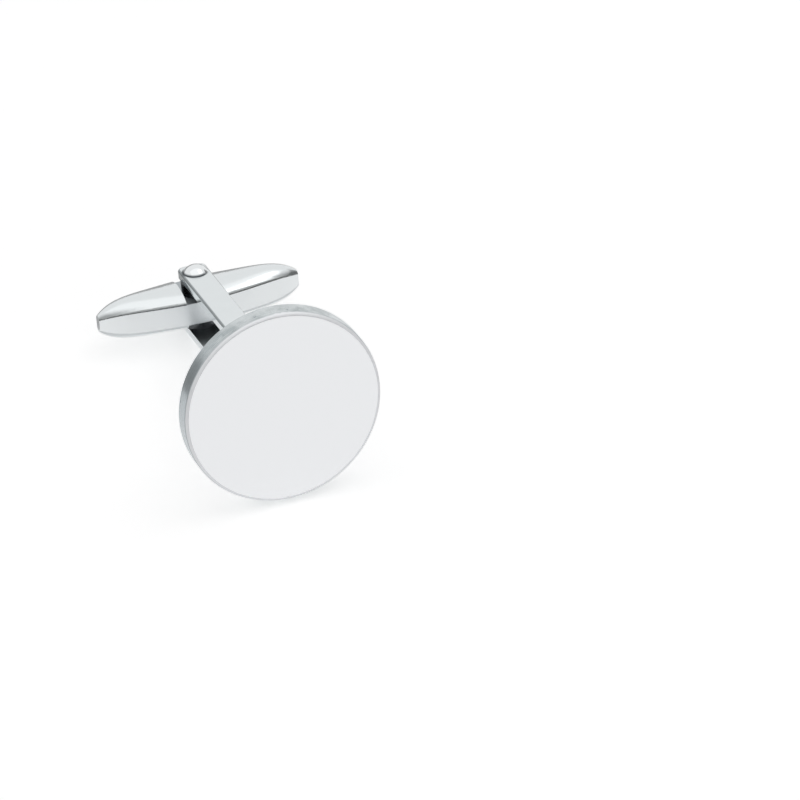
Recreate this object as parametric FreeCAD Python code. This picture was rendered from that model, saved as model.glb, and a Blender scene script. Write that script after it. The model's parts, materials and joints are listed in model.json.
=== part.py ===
import FreeCAD, Part
import math
import os

Vector = FreeCAD.Vector

# Sizes are in millimetres. The pieces are drawn with the disc's face in the plane y = 0, the post
# running back along +y and the swivel axis parallel to z. The last step lays the whole part down
# the way it rests on a table, on the disc's rim and the end of the lower arm.

# Face disc
disc_diameter = 16.0
disc_thickness = 1.8
disc_front_round = 0.3
disc_back_bevel = 0.15

# Stirrup, one bent strip that is soldered to the disc by its foot
arm_width = 2.3
arm_thickness = 0.75
arm_reach = 18.8
arm_overhang = 1.35
arm_corner_round = 0.5
arm_edge_round = 0.22
bend_inner_round = 0.6

# Toggle, a solid torpedo with a flat band round its waist and a low crown above and below
toggle_length = 16.5
toggle_depth = 4.3
toggle_height = 3.46
toggle_flat = 1.74
slot_floor_rise = 0.05

# The round between band and crown, as a share of the crown's height
shoulder_share = 0.35

# The swivel axis lies this far in front of the toggle's own middle, which leaves room for the spring
pivot_offset = 0.2

# Along half the toggle: place from the middle, then depth, height and flat as shares of the middle
toggle_stations = (
    (0.5, 0.79, 0.98, 0.99),
    (0.87, 0.43, 0.77, 0.8),
    (1.0, 0.18, 0.4, 0.46),
)

# Pivot and click mechanism
shank_diameter = 1.0
head_diameter = 2.0
head_height = 0.55
countersink_depth = 0.3
sleeve_diameter = 1.8
cam_flat_depth = 0.1
washer_diameter = 2.5
spring_length = 7.4
spring_thickness = 0.2
spring_width = 0.8
spring_seat = 1.0
groove_share = 0.8
pocket_share = 0.4

# Fits
swivel_clearance = 0.17
slot_clearance = 0.35
running_clearance = 0.03
rivet_clearance = 0.02
washer_clearance = 0.05
spring_clearance = 0.06
groove_clearance = 0.05

disc_radius = disc_diameter / 2
fork_gap = toggle_height + 2 * swivel_clearance
arm_inner = fork_gap / 2
arm_outer = arm_inner + arm_thickness
pivot_y = disc_thickness + arm_reach
arm_end_y = pivot_y + arm_overhang
slot_half_width = arm_width / 2 + slot_clearance
neck_half_height = toggle_flat / 2 + slot_floor_rise
sleeve_radius = sleeve_diameter / 2
spring_front = sleeve_radius + spring_clearance
cover_plane = spring_front + spring_thickness
groove_half_height = spring_width / 2 + groove_clearance
groove_half_length = spring_length / 2 + groove_clearance
groove_floor = groove_share * sleeve_radius
dome_radius = ((head_diameter / 2) ** 2 + head_height ** 2) / (2 * head_height)


def box(x0, x1, y0, y1, z0, z1):
    return Part.makeBox(x1 - x0, y1 - y0, z1 - z0, Vector(x0, y0, z0))


def at_pivot(shape):
    moved = shape.copy()
    moved.translate(Vector(0, pivot_y, 0))
    return moved


def revolved(edges, axis):
    face = Part.Face(Part.Wire(edges))
    solid = face.revolve(Vector(0, 0, 0), axis, 360)
    if solid.Volume < 0:
        solid.reverse()
    return solid


def arc(start, middle, end):
    return Part.Arc(start, middle, end).toShape()


def round_corner(centre, radius, from_deg, to_deg):
    points = []
    for angle in (from_deg, (from_deg + to_deg) / 2, to_deg):
        turn = math.radians(angle)
        points.append(centre + Vector(radius * math.cos(turn), radius * math.sin(turn), 0))
    return arc(*points)


def make_disc():
    front = round_corner(
        Vector(disc_radius - disc_front_round, disc_front_round, 0), disc_front_round, -90, 0)
    bevel_start = Vector(disc_radius, disc_thickness - disc_back_bevel, 0)
    bevel_end = Vector(disc_radius - disc_back_bevel, disc_thickness, 0)
    middle_front = Vector(0, 0, 0)
    middle_back = Vector(0, disc_thickness, 0)
    edges = [
        Part.makeLine(middle_front, front.Vertexes[0].Point),
        front,
        Part.makeLine(front.Vertexes[1].Point, bevel_start),
        Part.makeLine(bevel_start, bevel_end),
        Part.makeLine(bevel_end, middle_back),
        Part.makeLine(middle_back, middle_front),
    ]
    return revolved(edges, Vector(0, 1, 0))


def strip_corner(centre_y, centre_z, radius, sign):
    diagonal = radius * math.sqrt(0.5)
    return arc(
        Vector(0, centre_y, sign * (centre_z + radius)),
        Vector(0, centre_y - diagonal, sign * (centre_z + diagonal)),
        Vector(0, centre_y - radius, sign * centre_z))


def make_stirrup():
    outer_round = bend_inner_round + arm_thickness
    bend_y = disc_thickness + outer_round
    bend_z = arm_inner - bend_inner_round
    edges = []
    for radius in (outer_round, bend_inner_round):
        level = bend_z + radius
        near = bend_y - radius
        edges.append(Part.makeLine(Vector(0, arm_end_y, level), Vector(0, bend_y, level)))
        edges.append(strip_corner(bend_y, bend_z, radius, 1))
        edges.append(Part.makeLine(Vector(0, near, bend_z), Vector(0, near, -bend_z)))
        edges.append(strip_corner(bend_y, bend_z, radius, -1))
        edges.append(Part.makeLine(Vector(0, bend_y, -level), Vector(0, arm_end_y, -level)))
    for sign in (1, -1):
        edges.append(Part.makeLine(
            Vector(0, arm_end_y, sign * arm_inner), Vector(0, arm_end_y, sign * arm_outer)))
    outline = Part.Wire(Part.__sortEdges__(edges))
    strip = Part.Face(outline).extrude(Vector(arm_width, 0, 0))
    strip.translate(Vector(-arm_width / 2, 0, 0))
    corners = []
    for edge in strip.Edges:
        low, high = edge.BoundBox.ZMin, edge.BoundBox.ZMax
        if edge.BoundBox.YMin > arm_end_y - 0.01 and high - low > arm_thickness / 2:
            corners.append(edge)
    strip = strip.makeFillet(arm_corner_round, corners)
    sides = []
    for edge in strip.Edges:
        level = abs(edge.CenterOfMass.z)
        flat = edge.BoundBox.ZLength < 0.001
        if flat and abs(level - arm_outer) < 0.001 and edge.BoundBox.YLength > arm_reach / 2:
            sides.append(edge)
    strip = strip.makeFillet(arm_edge_round, sides)
    hole = Part.makeCylinder(
        shank_diameter / 2 + rivet_clearance, 4 * arm_outer, Vector(0, pivot_y, -2 * arm_outer))
    narrow = shank_diameter / 2
    countersink = Part.makeCone(
        narrow + countersink_depth, narrow, countersink_depth, Vector(0, pivot_y, -arm_outer))
    return strip.cut(hole).cut(countersink)


def make_rivet():
    shank = shank_diameter / 2
    head = head_diameter / 2
    tip = arm_outer + head_height
    centre = tip - dome_radius
    lean = math.asin(head / dome_radius) / 2
    side = Vector(dome_radius * math.sin(lean), 0, centre + dome_radius * math.cos(lean))
    flush = shank + countersink_depth
    edges = [
        Part.makeLine(Vector(0, 0, -arm_outer), Vector(flush, 0, -arm_outer)),
        Part.makeLine(
            Vector(flush, 0, -arm_outer), Vector(shank, 0, countersink_depth - arm_outer)),
        Part.makeLine(
            Vector(shank, 0, countersink_depth - arm_outer), Vector(shank, 0, arm_outer)),
        Part.makeLine(Vector(shank, 0, arm_outer), Vector(head, 0, arm_outer)),
        arc(Vector(head, 0, arm_outer), side, Vector(0, 0, tip)),
        Part.makeLine(Vector(0, 0, tip), Vector(0, 0, -arm_outer)),
    ]
    return at_pivot(revolved(edges, Vector(0, 0, 1)))


def make_sleeve():
    sleeve = Part.makeCylinder(sleeve_radius, fork_gap, Vector(0, 0, -arm_inner))
    bore = Part.makeCylinder(
        shank_diameter / 2 + rivet_clearance, 2 * fork_gap, Vector(0, 0, -fork_gap))
    sleeve = sleeve.cut(bore)
    flat = sleeve_radius - cam_flat_depth
    half = neck_half_height
    milled = box(flat, 2 * sleeve_radius, -sleeve_radius, sleeve_radius, -half, half)
    for quarter in range(4):
        cutter = milled.copy()
        cutter.rotate(Vector(0, 0, 0), Vector(0, 0, 1), 90 * quarter)
        sleeve = sleeve.cut(cutter)
    return at_pivot(sleeve)


def toggle_section(place, half_depth, half_height, half_flat):
    # A shallow crown arc that runs into the upright flats by a tight shoulder arc on each side
    crown_height = half_height - half_flat
    shoulder = shoulder_share * crown_height
    inset = half_depth - shoulder
    radius = (inset ** 2 + crown_height ** 2 - shoulder ** 2) / (2 * (crown_height - shoulder))
    turn = math.asin(inset / (radius - shoulder))
    lean = (turn + math.pi / 2) / 2
    join_y = radius * math.sin(turn)
    join_z = half_height - radius * (1 - math.cos(turn))
    bulge_y = inset + shoulder * math.sin(lean)
    bulge_z = half_flat + shoulder * math.cos(lean)
    edges = []
    for up in (1, -1):
        for side in (1, -1):
            edges.append(arc(
                Vector(place, side * half_depth, up * half_flat),
                Vector(place, side * bulge_y, up * bulge_z),
                Vector(place, side * join_y, up * join_z)))
        edges.append(arc(
            Vector(place, -join_y, up * join_z),
            Vector(place, 0, up * half_height),
            Vector(place, join_y, up * join_z)))
    for side in (1, -1):
        edges.append(Part.makeLine(
            Vector(place, side * half_depth, -half_flat), Vector(place, side * half_depth, half_flat)))
    return Part.Wire(Part.__sortEdges__(edges))


def toggle_solid():
    stations = [(-place, *shares) for place, *shares in reversed(toggle_stations)]
    stations.append((0.0, 1.0, 1.0, 1.0))
    stations.extend(toggle_stations)
    sections = []
    for place, depth, height, flat in stations:
        sections.append(toggle_section(
            place * toggle_length / 2,
            depth * toggle_depth / 2,
            height * toggle_height / 2,
            flat * toggle_flat / 2))
    solid = Part.makeLoft(sections, True, False)
    solid.translate(Vector(0, pivot_offset, 0))
    return solid


def make_washer(sign):
    outer = washer_diameter / 2
    height = arm_inner - neck_half_height - washer_clearance
    bottom = arm_inner - height if sign > 0 else -arm_inner
    ring = Part.makeCylinder(outer, height, Vector(0, 0, bottom))
    bore = Part.makeCylinder(
        sleeve_radius + rivet_clearance, 2 * fork_gap, Vector(0, 0, -fork_gap))
    return at_pivot(ring.cut(bore))


def make_toggle():
    solid = toggle_solid()
    far = toggle_length
    for low, high in ((neck_half_height, far), (-far, -neck_half_height)):
        solid = solid.cut(box(-slot_half_width, slot_half_width, -far, far, low, high))
    behind = box(-far, far, cover_plane, far, -far, far)
    groove = box(
        -groove_half_length, groove_half_length,
        groove_floor, far, -groove_half_height, groove_half_height)
    bore = Part.makeCylinder(sleeve_radius + running_clearance, 2 * far, Vector(0, 0, -far))
    body = solid.cut(behind).cut(groove).cut(bore)
    pocket_half_length = spring_length / 2 - spring_seat
    pocket_depth = pocket_share * (toggle_depth / 2 + pivot_offset - cover_plane)
    pocket = box(
        -pocket_half_length, pocket_half_length,
        0, cover_plane + pocket_depth, -groove_half_height, groove_half_height)
    cover = solid.common(behind).cut(pocket)
    return at_pivot(body), at_pivot(cover)


def make_spring():
    return at_pivot(box(
        -spring_length / 2, spring_length / 2,
        spring_front, cover_plane, -spring_width / 2, spring_width / 2))


def rest_tilt():
    # Angle at which the rim's back edge and the rounded end of the lower arm touch one flat table
    across = disc_radius - (arm_outer - arm_edge_round)
    along = arm_end_y - arm_edge_round - (disc_thickness - disc_back_bevel)
    return math.acos(arm_edge_round / math.hypot(across, along)) - math.atan2(along, across)


body, cover = make_toggle()
pieces = {
    "face_disc": make_disc(),
    "stirrup": make_stirrup(),
    "pivot_rivet": make_rivet(),
    "cam_sleeve": make_sleeve(),
    "upper_washer": make_washer(1),
    "lower_washer": make_washer(-1),
    "toggle_body": body,
    "toggle_cover": cover,
    "detent_spring": make_spring(),
}

for shape in pieces.values():
    shape.rotate(Vector(0, 0, 0), Vector(1, 0, 0), -math.degrees(rest_tilt()))
bounds = Part.makeCompound(list(pieces.values())).optimalBoundingBox(False)
middle = bounds.Center
os.makedirs("parts", exist_ok=True)
for name, shape in pieces.items():
    shape.translate(Vector(0, -middle.y, -bounds.ZMin))
    shape.exportStep("parts/" + name + ".step")
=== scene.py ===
import json
import math

import bpy
from mathutils import Matrix, Vector


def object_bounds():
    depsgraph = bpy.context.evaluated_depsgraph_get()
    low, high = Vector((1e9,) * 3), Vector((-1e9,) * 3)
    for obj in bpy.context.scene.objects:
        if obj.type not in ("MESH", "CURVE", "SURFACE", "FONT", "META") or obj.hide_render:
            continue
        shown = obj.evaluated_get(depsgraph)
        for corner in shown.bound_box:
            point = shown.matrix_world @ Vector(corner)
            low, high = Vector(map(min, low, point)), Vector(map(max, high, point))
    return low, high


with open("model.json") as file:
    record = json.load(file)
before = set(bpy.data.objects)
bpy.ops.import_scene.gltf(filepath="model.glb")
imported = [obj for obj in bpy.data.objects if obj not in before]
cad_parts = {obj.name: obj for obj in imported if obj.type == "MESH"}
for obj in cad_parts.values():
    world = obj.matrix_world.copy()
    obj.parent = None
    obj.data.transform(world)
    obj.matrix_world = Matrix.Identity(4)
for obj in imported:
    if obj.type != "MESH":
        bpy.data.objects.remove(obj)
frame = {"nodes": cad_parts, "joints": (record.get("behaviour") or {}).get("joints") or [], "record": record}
cad_low, cad_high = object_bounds()

# The photograph: its size in pixels, the disc's middle in it, and how it was taken
IMAGE_SIZE = 800
FACE_PIXEL = (283.6, 407.3)
PIXELS_PER_MM = 12.93
CAMERA_AZIMUTH = -19.85
CAMERA_ELEVATION = 40.93
CAMERA_DISTANCE = 1.5
SENSOR_WIDTH = 36.0
NEAR_CLIP = 0.01
FAR_CLIP = 20.0

# Sizes that the finish follows, in metres: the strip, the room beside an arm in its slot, the slot's
# floor from the toggle's middle, how far the painted shade in the fork goes from the swivel axis along
# the arms, and how far a mask passes a surface
MM = 0.001
ARM_THICKNESS = 0.75 * MM
SLOT_CLEARANCE = 0.35 * MM
SLOT_FLOOR = 0.92 * MM
FORK_SHADE_REACH = 4.0 * MM
SKIN = 0.02 * MM

# The white round the part: its level as a light and as it is seen, the floor's size and grey, and
# what is added to the floor where it is seen
LIGHT_LEVEL = 0.42
SEEN_LEVEL = 1.0
FLOOR_SIZE = 3.0
FLOOR_GREY = 0.9
FLOOR_LIFT = 0.52

# How far off the two cards go that the metal mirrors
CARD_DISTANCE = 0.3

# The front card: how high it goes as seen from the part, and how far round it to each side, in degrees
FRONT_CARD_ELEVATION = 25
FRONT_CARD_SPREAD = 120
FRONT_CARD_STEPS = 24
FRONT_CARD_GREY = 0.7

# The back card: how far it lies off the floor, and how far it goes to the right
BACK_CARD_LIFT = 0.05 * MM
BACK_CARD_RIGHT = 16 * MM
BACK_CARD_GREY = 0.75

# The disc's place comes from the mount on its face, and the swivel axis from the joint
mounts = {mount["name"]: mount for mount in frame["record"]["mounts"]}
face_centre = Vector(mounts["front_face"]["pos_m"])
face_normal = Vector(mounts["front_face"]["axis"]).normalized()
swivel = frame["joints"][0]
pivot = Vector(swivel["pos_m"])
swivel_axis = Vector(swivel["axis"]).normalized()
across = Vector((1, 0, 0))

# The part's own axes: across it, back along the post and up the swivel axis
own_axes = (across, -face_normal, swivel_axis)


def reach(node, origin, axis):
    """How far a CAD node reaches from a point along an axis."""
    return max((vertex.co - origin).dot(axis) for vertex in frame["nodes"][node].data.vertices)


# Sizes of the CAD nodes that the finish follows too
disc_radius = reach("face_disc", face_centre, across)
head_radius = reach("pivot_rivet", pivot, across)
arm_half_width = reach("stirrup", pivot, across)
arm_outer = reach("stirrup", pivot, swivel_axis)
arm_inner = arm_outer - ARM_THICKNESS
slot_half_width = arm_half_width + SLOT_CLEARANCE


class Shading:
    """One procedural metal, with short calls for the nodes that it is made of."""

    def __init__(self, name):
        self.material = bpy.data.materials.new(name)
        self.material.use_nodes = True
        self.nodes = self.material.node_tree.nodes
        self.links = self.material.node_tree.links
        self.shader = self.nodes["Principled BSDF"]

    def node(self, kind, **settings):
        made = self.nodes.new("ShaderNode" + kind)
        for key, value in settings.items():
            setattr(made, key, value)
        return made

    def put(self, socket, value):
        """Link an input to another node's output, or set it to a constant."""
        if isinstance(value, bpy.types.NodeSocket):
            self.links.new(value, socket)
        else:
            socket.default_value = value

    def feed(self, node, **values):
        """Put values into a node's inputs by their names, which have _ for a space here."""
        for name, value in values.items():
            self.put(node.inputs[name.replace("_", " ")], value)

    def work_out(self, kind, operation, *values):
        """A node that does one operation on some values, in their order."""
        made = self.node(kind, operation=operation)
        for socket, value in zip(made.inputs, values):
            self.put(socket, value)
        return made

    def place(self, origin):
        """Coordinates along the part's own axes from an origin, in the rest pose of the piece."""
        turn = Matrix(own_axes)
        made = self.node("Mapping")
        coordinates = self.node("TexCoord").outputs["Object"]
        self.feed(made, Vector=coordinates, Location=-(turn @ origin), Rotation=turn.to_euler())
        return made.outputs["Vector"]

    def levels(self, vector):
        """The three coordinates of a place, each by itself."""
        made = self.node("SeparateXYZ")
        self.feed(made, Vector=vector)
        return made.outputs["X"], made.outputs["Y"], made.outputs["Z"]

    def stretch(self, vector, factors):
        return self.work_out("VectorMath", "MULTIPLY", vector, factors).outputs["Vector"]

    def radius(self, vector):
        """How far a place is from the third axis."""
        flat = self.stretch(vector, (1.0, 1.0, 0.0))
        return self.work_out("VectorMath", "LENGTH", flat).outputs["Value"]

    def noise(self, vector, scale, detail=3.0, roughness=0.55):
        made = self.node("TexNoise")
        self.feed(made, Vector=vector, Scale=scale, Detail=detail, Roughness=roughness)
        return made.outputs["Fac"]

    def grain(self, vector, counts):
        """Fine lines, with as many to the metre along each axis as the counts say."""
        return self.noise(self.stretch(vector, counts), 1.0, 2.0)

    def math(self, operation, *values):
        return self.work_out("Math", operation, *values).outputs["Value"]

    def size(self, value):
        """A value without its sign."""
        return self.math("ABSOLUTE", value)

    def overlap(self, mask, *others):
        """A mask that is 1 only where all of these are."""
        for other in others:
            mask = self.math("MULTIPLY", mask, other)
        return mask

    def facing(self, axis):
        """How far the surface faces along an axis, either way: 1 along it and 0 across it."""
        normal = self.node("TexCoord").outputs["Normal"]
        return self.size(self.work_out("VectorMath", "DOT_PRODUCT", normal, axis).outputs["Value"])

    def ramp(self, value, first, last, start=0.0, end=1.0):
        """A soft step from start to end, while the value goes from first to last."""
        made = self.node("MapRange", interpolation_type="SMOOTHSTEP")
        self.feed(made, Value=value, From_Min=first, From_Max=last, To_Min=start, To_Max=end)
        return made.outputs["Result"]

    def blend(self, share, first, second):
        """A colour between two colours."""
        made = self.node("Mix", data_type="RGBA")
        self.feed(made, Factor=share, A=first, B=second)
        return made.outputs["Result"]

    def choose(self, share, first, second):
        """A number between two numbers."""
        made = self.node("Mix", data_type="FLOAT")
        self.feed(made, Factor=share, A=first, B=second)
        return made.outputs["Result"]

    def bump(self, height, strength, distance):
        made = self.node("Bump")
        self.feed(made, Height=height, Strength=strength, Distance=distance)
        self.feed(self.shader, Normal=made.outputs["Normal"])

    def finish(self, colour, roughness):
        self.feed(self.shader, Base_Color=colour, Roughness=roughness, Metallic=1.0)
        return self.material


# The materials: noise scales and grain counts are per metre, and ramps on a facing go by the cosine
# of the angle between the surface's normal and the axis


def disc_material():
    """Polished plate: a faint haze on the face, a soft front edge, a turned rim with dark specks, greyed
    with painted shade that is darker at both sides.
    """
    metal = Shading("disc_metal")
    own = metal.place(face_centre)
    x = metal.levels(own)[0]
    outward = metal.facing(face_normal)
    on_rim = metal.ramp(outward, 0.6, 0.2)
    front_edge = metal.overlap(metal.ramp(outward, 0.9995, 0.98), metal.ramp(outward, 0.05, 0.25))
    sideways = metal.ramp(metal.size(x), 0.4 * disc_radius, 0.95 * disc_radius)
    haze = metal.noise(own, 260.0)
    hairlines = metal.grain(own, (900.0, 900.0, 14000.0))
    turning = metal.grain(own, (60.0, 22000.0, 60.0))
    wear = metal.noise(own, 420.0, 4.0, 0.6)
    specks = metal.ramp(metal.noise(own, 1900.0, 2.0), 0.66, 0.74)
    face = metal.blend(haze, (0.79, 0.80, 0.815, 1), (0.81, 0.82, 0.835, 1))
    # Painted shade: the rim is coloured grey, and darker again at both sides of the disc
    rim = metal.blend(metal.ramp(wear, 0.35, 0.65), (0.38, 0.42, 0.43, 1), (0.60, 0.635, 0.645, 1))
    rim_side_painted_shade = metal.blend(wear, (0.32, 0.36, 0.38, 1), (0.51, 0.55, 0.57, 1))
    rim = metal.blend(sideways, rim, rim_side_painted_shade)
    rim = metal.blend(specks, rim, (0.25, 0.28, 0.30, 1))
    satin = metal.ramp(haze, 0.3, 0.7, start=0.10, end=0.14)
    polish = metal.ramp(turning, 0.3, 0.7, start=0.18, end=0.30)
    metal.bump(metal.choose(on_rim, hairlines, turning), 0.05, 0.002 * MM)
    roughness = metal.choose(front_edge, metal.choose(on_rim, satin, polish), 0.68)
    return metal.finish(metal.blend(on_rim, face, rim), roughness)


def head_shadow_side(metal, x, y):
    """The side of the rivet's head, to its left and towards the disc, that gets a painted contact shadow."""
    return metal.ramp(metal.math("ADD", x, y), 0.6 * head_radius, -0.6 * head_radius)


def strip_material():
    """Polished strip: fine lines along it, rougher edges coloured darker as painted shade, most on the left,
    and painted shade inside the fork and round the rivet's head.
    """
    metal = Shading("stirrup_metal")
    own = metal.place(pivot)
    x, y, z = metal.levels(own)
    upright = metal.facing(swivel_axis)
    # Painted shade: the edges are coloured darker, most on the left; they are rougher too
    edge = metal.overlap(
        metal.ramp(upright, 0.1, 0.35),
        metal.ramp(upright, 0.985, 0.9),
        metal.ramp(metal.facing(across), 0.1, 0.3),
        metal.ramp(x, 0.5 * arm_half_width, -0.5 * arm_half_width, start=0.15, end=1.0))
    inside = metal.overlap(
        metal.ramp(metal.size(z), arm_inner + SKIN, arm_inner + SKIN / 2),
        metal.ramp(metal.size(x), arm_half_width - SKIN / 2, arm_half_width - SKIN))
    # Painted shade inside the fork, darkest by the swivel axis and fading towards the disc
    fork_painted_shade = metal.overlap(inside, metal.ramp(y, -1.1 * FORK_SHADE_REACH, -0.9 * FORK_SHADE_REACH))
    deepening = metal.ramp(y, -FORK_SHADE_REACH, -0.3 * FORK_SHADE_REACH)
    # Painted contact shadow on the arm round the rivet's head, on its left side towards the disc
    head_painted_shadow = metal.overlap(
        metal.ramp(metal.radius(own), head_radius + 8 * SKIN, head_radius + SKIN),
        metal.ramp(z, arm_inner, arm_outer),
        head_shadow_side(metal, x, y))
    lines = metal.grain(own, (9000.0, 250.0, 9000.0))
    rubbed = metal.noise(own, 700.0)
    dark = metal.blend(deepening, (0.40, 0.42, 0.43, 1), (0.20, 0.22, 0.23, 1))
    colour = metal.blend(rubbed, (0.68, 0.715, 0.725, 1), (0.72, 0.755, 0.765, 1))
    colour = metal.blend(edge, colour, (0.34, 0.37, 0.38, 1))
    colour = metal.blend(inside, colour, (0.86, 0.88, 0.89, 1))
    colour = metal.blend(fork_painted_shade, colour, dark)
    colour = metal.blend(head_painted_shadow, colour, (0.10, 0.11, 0.12, 1))
    polish = metal.ramp(rubbed, 0.35, 0.7, start=0.09, end=0.16)
    metal.bump(lines, 0.06, 0.002 * MM)
    return metal.finish(colour, metal.choose(metal.math("MAXIMUM", edge, fork_painted_shade), polish, 0.38))


def rivet_material():
    """Burnished dome with rings left by the setting punch and a painted contact shadow at its foot."""
    metal = Shading("rivet_metal")
    own = metal.place(pivot)
    x, y, z = metal.levels(own)
    # Painted contact shadow round the foot of the dome, on its left side towards the disc
    foot = metal.overlap(
        metal.ramp(z, arm_outer + 9 * SKIN, arm_outer + SKIN),
        metal.ramp(z, 0.0, arm_inner),
        head_shadow_side(metal, x, y))
    rings = metal.grain(own, (500.0, 500.0, 16000.0))
    rubbed = metal.noise(own, 1500.0)
    colour = metal.blend(rubbed, (0.74, 0.765, 0.775, 1), (0.79, 0.81, 0.82, 1))
    colour = metal.blend(foot, colour, (0.07, 0.08, 0.09, 1))
    metal.bump(rings, 0.05, 0.003 * MM)
    return metal.finish(colour, metal.ramp(rubbed, 0.3, 0.7, start=0.07, end=0.13))


def toggle_material():
    """Satin band lighter as painted light, glossier crowns with painted shade along their shoulders, darker
    above, and rough slots in painted shade.
    """
    metal = Shading("toggle_metal")
    own = metal.place(pivot)
    x, _, z = metal.levels(own)
    upright = metal.facing(swivel_axis)
    off_band = metal.ramp(upright, 0.04, 0.2)
    shoulder = metal.overlap(off_band, metal.ramp(upright, 0.8, 0.5))
    slot = metal.overlap(
        metal.ramp(metal.size(x), slot_half_width + SKIN, slot_half_width + SKIN / 2),
        metal.ramp(metal.size(z), SLOT_FLOOR - SKIN, SLOT_FLOOR - SKIN / 2))
    buffing = metal.grain(own, (200.0, 9000.0, 9000.0))
    haze = metal.noise(own, 420.0)
    # Painted light: the band is coloured lighter than the crowns
    band = metal.blend(haze, (0.79, 0.815, 0.825, 1), (0.82, 0.845, 0.855, 1))
    crown = metal.blend(haze, (0.70, 0.73, 0.74, 1), (0.73, 0.76, 0.77, 1))
    # Painted shade: a line along the shoulders, darker on the upper ones than on the lower
    height = metal.ramp(z, -SLOT_FLOOR, SLOT_FLOOR)
    shoulder_shade_colour = metal.blend(height, (0.55, 0.575, 0.585, 1), (0.32, 0.335, 0.34, 1))
    colour = metal.blend(off_band, band, crown)
    colour = metal.blend(shoulder, colour, shoulder_shade_colour)
    # Painted shade: the slots are coloured darker
    colour = metal.blend(slot, colour, (0.42, 0.45, 0.47, 1))
    satin = metal.ramp(haze, 0.3, 0.75, start=0.30, end=0.36)
    polish = metal.ramp(haze, 0.3, 0.75, start=0.17, end=0.23)
    metal.bump(buffing, 0.02, 0.002 * MM)
    return metal.finish(colour, metal.choose(slot, metal.choose(off_band, satin, polish), 0.45))


def turned_steel(name, dark, light):
    """Small turned pieces with tool rings, coloured darker than the plated ones as painted shade."""
    metal = Shading(name)
    own = metal.place(pivot)
    rings = metal.grain(own, (300.0, 300.0, 20000.0))
    colour = metal.blend(metal.noise(own, 1800.0), dark, light)
    metal.bump(rings, 0.25, 0.006 * MM)
    return metal.finish(colour, metal.ramp(rings, 0.3, 0.7, start=0.22, end=0.36))


def spring_material():
    """Blue-grey tempered strip with rolling lines along its length."""
    metal = Shading("spring_steel")
    own = metal.place(pivot)
    lines = metal.grain(own, (150.0, 12000.0, 12000.0))
    temper = metal.noise(own, 500.0)
    colour = metal.blend(temper, (0.30, 0.33, 0.40, 1), (0.46, 0.46, 0.48, 1))
    metal.bump(lines, 0.2, 0.004 * MM)
    return metal.finish(colour, metal.ramp(lines, 0.3, 0.7, start=0.25, end=0.4))


def dress_nodes():
    """Give each CAD node the material of its slot in the record."""
    made = {
        "disc_metal": disc_material(),
        "stirrup_metal": strip_material(),
        "rivet_metal": rivet_material(),
        "toggle_metal": toggle_material(),
        # The sleeve and the washers are coloured dark as painted shade, the washers darkest
        "sleeve_steel": turned_steel("sleeve_steel", (0.22, 0.23, 0.24, 1), (0.34, 0.35, 0.37, 1)),
        "washer_steel": turned_steel("washer_steel", (0.06, 0.065, 0.07, 1), (0.11, 0.115, 0.12, 1)),
        "spring_steel": spring_material(),
    }
    for piece in frame["record"]["subparts"]:
        mesh = frame["nodes"][piece["node"]].data
        mesh.materials.clear()
        mesh.materials.append(made[piece["material_slot"]])


def level_by_ray(tree, unseen, seen):
    """One level for rays that show a surface, straight or in a reflection, another for the rest."""
    path = tree.nodes.new("ShaderNodeLightPath")
    showing = path.outputs["Is Camera Ray"]
    for output in ("Is Glossy Ray", "Is Transmission Ray"):
        either = tree.nodes.new("ShaderNodeMath")
        either.operation = "MAXIMUM"
        tree.links.new(showing, either.inputs[0])
        tree.links.new(path.outputs[output], either.inputs[1])
        showing = either.outputs["Value"]
    level = tree.nodes.new("ShaderNodeMapRange")
    tree.links.new(showing, level.inputs["Value"])
    level.inputs["To Min"].default_value = unseen
    level.inputs["To Max"].default_value = seen
    return level.outputs["Result"]


def make_world():
    world = bpy.data.worlds.new("studio")
    bpy.context.scene.world = world
    world.use_nodes = True
    tree = world.node_tree
    background = tree.nodes["Background"]
    background.inputs["Color"].default_value = (1, 1, 1, 1)
    tree.links.new(level_by_ray(tree, LIGHT_LEVEL, SEEN_LEVEL), background.inputs["Strength"])


def dull_material(name, grey, roughness):
    material = bpy.data.materials.new(name)
    material.use_nodes = True
    shader = material.node_tree.nodes["Principled BSDF"]
    shader.inputs["Base Color"].default_value = (grey, grey, grey, 1)
    shader.inputs["Roughness"].default_value = roughness
    return material


def make_floor():
    bpy.ops.mesh.primitive_plane_add(size=FLOOR_SIZE, location=(0, 0, cad_low.z))
    floor = bpy.context.object
    floor.name = "floor"
    material = dull_material("floor_paper", FLOOR_GREY, roughness=0.9)
    tree = material.node_tree
    shader = tree.nodes["Principled BSDF"]
    shader.inputs["Emission Color"].default_value = (1, 1, 1, 1)
    tree.links.new(level_by_ray(tree, 0.0, FLOOR_LIFT), shader.inputs["Emission Strength"])
    floor.data.materials.append(material)


def direction(azimuth, elevation):
    """The way from the part to a place seen from it: azimuth 0 is in front, and 90 to the right."""
    turn, rise = math.radians(azimuth), math.radians(elevation)
    level = math.cos(rise)
    return Vector((math.sin(turn) * level, -math.cos(turn) * level, math.sin(rise)))


def stand_off(name, data, target, back, distance):
    """Stand a lamp or a camera off a point, looking back at it."""
    thing = bpy.data.objects.new(name, data)
    bpy.context.scene.collection.objects.link(thing)
    thing.location = target + back * distance
    thing.rotation_euler = (-back).to_track_quat("-Z", "Y").to_euler()
    return thing


def softbox(name, azimuth, elevation, distance, size, power):
    light = bpy.data.lights.new(name, "AREA")
    light.shape = "SQUARE"
    light.size = size
    light.energy = power
    stand_off(name, light, face_centre, direction(azimuth, elevation), distance)


def make_lights():
    softbox("key_softbox", azimuth=0, elevation=86, distance=0.5, size=0.8, power=0.38)
    softbox("fill_softbox", azimuth=100, elevation=60, distance=0.5, size=0.25, power=0.12)


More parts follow.
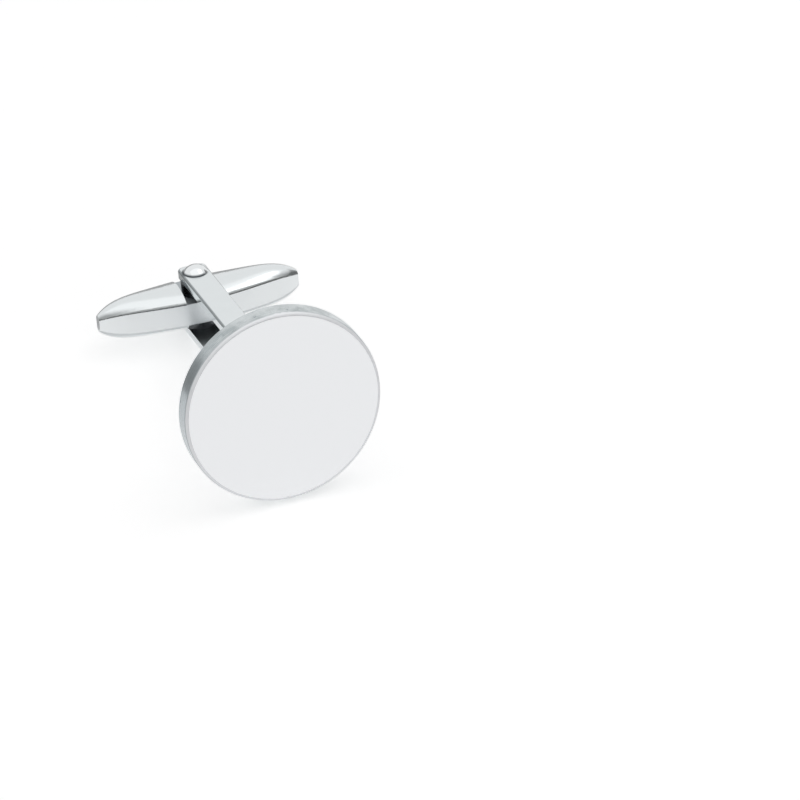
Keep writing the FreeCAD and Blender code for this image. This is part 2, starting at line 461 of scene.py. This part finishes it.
def stand_card(name, verts, faces, grey):
    """A card out of the picture, there only for what the polished metal mirrors."""
    mesh = bpy.data.meshes.new(name)
    mesh.from_pydata(verts, [], faces)
    mesh.materials.append(dull_material(name + "_felt", grey, roughness=1.0))
    card = bpy.data.objects.new(name, mesh)
    bpy.context.scene.collection.objects.link(card)
    card.visible_camera = False
    card.visible_diffuse = False
    card.visible_shadow = False


def make_front_card():
    """The shade of the room in front of the part, as a low strip bent round it."""
    height = CARD_DISTANCE * math.tan(math.radians(FRONT_CARD_ELEVATION))
    verts, faces = [], []
    for step in range(FRONT_CARD_STEPS + 1):
        out = direction(FRONT_CARD_SPREAD * (2 * step / FRONT_CARD_STEPS - 1), 0) * CARD_DISTANCE
        verts.extend((out, out + Vector((0, 0, height))))
        if step:
            first = 2 * step - 2
            faces.append((first, first + 2, first + 3, first + 1))
    stand_card("front_card", verts, faces, FRONT_CARD_GREY)


def make_back_card():
    """The shade on the table behind the part, as a card that lies there."""
    near, far, level = cad_high.y, CARD_DISTANCE, cad_low.z + BACK_CARD_LIFT
    left, right = -CARD_DISTANCE, BACK_CARD_RIGHT
    verts = [(left, near, level), (right, near, level), (right, far, level), (left, far, level)]
    stand_card("back_card", verts, [(0, 1, 2, 3)], BACK_CARD_GREY)


def make_camera():
    """The photograph's camera, aimed so that the disc's middle is at its pixel."""
    back = direction(CAMERA_AZIMUTH, CAMERA_ELEVATION)
    right = Vector((0, 0, 1)).cross(back).normalized()
    up = back.cross(right)
    metres_per_pixel = MM / PIXELS_PER_MM
    middle = IMAGE_SIZE / 2
    sideways = right * (middle - FACE_PIXEL[0]) * metres_per_pixel
    upwards = up * (FACE_PIXEL[1] - middle) * metres_per_pixel
    data = bpy.data.cameras.new("camera")
    data.sensor_width = SENSOR_WIDTH
    data.lens = SENSOR_WIDTH * CAMERA_DISTANCE / (IMAGE_SIZE * metres_per_pixel)
    data.clip_start = NEAR_CLIP
    data.clip_end = FAR_CLIP
    aim = face_centre + sideways + upwards
    bpy.context.scene.camera = stand_off("camera", data, aim, back, CAMERA_DISTANCE)


dress_nodes()
make_world()
make_floor()
make_lights()
make_front_card()
make_back_card()
make_camera()
bpy.context.scene.view_settings.view_transform = "Standard"
